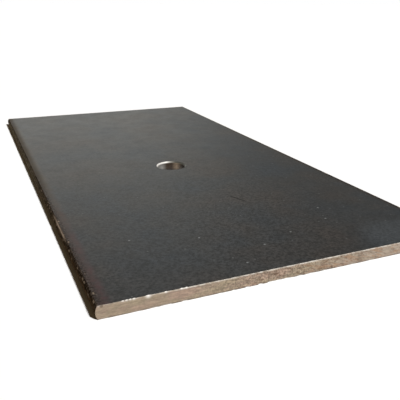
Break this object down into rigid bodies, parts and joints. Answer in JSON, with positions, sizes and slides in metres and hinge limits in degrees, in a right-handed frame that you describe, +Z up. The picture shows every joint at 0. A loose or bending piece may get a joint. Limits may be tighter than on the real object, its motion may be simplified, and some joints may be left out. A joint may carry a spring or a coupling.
{
  "type": "steel plate",
  "caption": "Flat hot-rolled steel plate with rounded mill edges, sawn ends and a chamfered through hole, stock for base plates, weights and brackets.",
  "frame": {"origin": "on the underside, below the middle of the plate", "axes": "+X across the width, +Y along the length away from the front sawn end, +Z up through the thickness"},
  "size_m": [0.15, 0.3, 0.005],
  "materials": {
    "mill_steel": "hot-rolled steel with dark blue-grey mill scale, and bare sawn ends"
  },
  "bodies": {
    "root": {"steel_plate": "mill_steel"}
  },
  "joints": []
}
